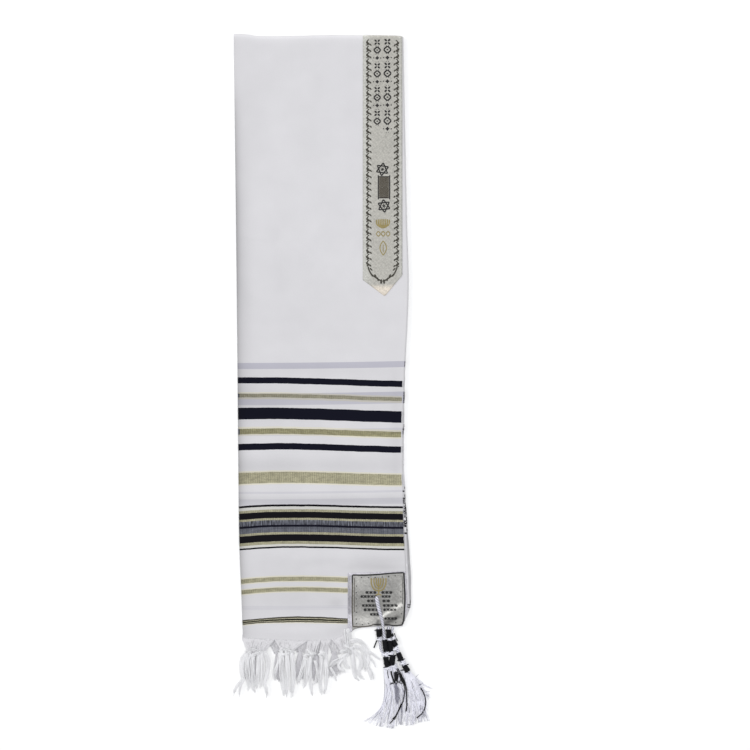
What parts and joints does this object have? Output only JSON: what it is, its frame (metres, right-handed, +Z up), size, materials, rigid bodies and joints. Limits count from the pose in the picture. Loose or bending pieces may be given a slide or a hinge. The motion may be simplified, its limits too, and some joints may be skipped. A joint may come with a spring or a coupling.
{
  "type": "folded tallit prayer shawl",
  "caption": "White prayer shawl with navy and gold stripes, folded in four and laid flat, with a silver neckband, a corner patch, knotted fringe and wound corner tassels.",
  "frame": {"origin": "on the table under the middle of the folded shawl with its fringe and tassels", "axes": "+Z up from the table, +Y along the folded length from the fringe towards the end fold, +X across the width from the side fold towards the neck edge"},
  "size_m": [0.292, 1.0392, 0.0109],
  "materials": {
    "white_cloth": "matt woven cloth with navy and gold weft stripes",
    "silver_brocade": "silver metallic brocade",
    "white_yarn": "soft white yarn",
    "wound_string": "white string wound with black"
  },
  "bodies": {
    "root": {"folded_layers": "white_cloth", "top_layer": "white_cloth", "neckband": "silver_brocade", "corner_patch": "silver_brocade", "fringe_top_1": "white_yarn", "fringe_top_2": "white_yarn", "fringe_top_3": "white_yarn", "fringe_top_4": "white_yarn", "fringe_top_5": "white_yarn", "fringe_under_1": "white_yarn", "fringe_under_2": "white_yarn", "fringe_under_3": "white_yarn", "fringe_under_4": "white_yarn", "fringe_under_5": "white_yarn", "tzitzit_1": "wound_string", "tzitzit_2": "wound_string", "tzitzit_3": "wound_string", "tzitzit_4": "wound_string"}
  },
  "joints": []
}
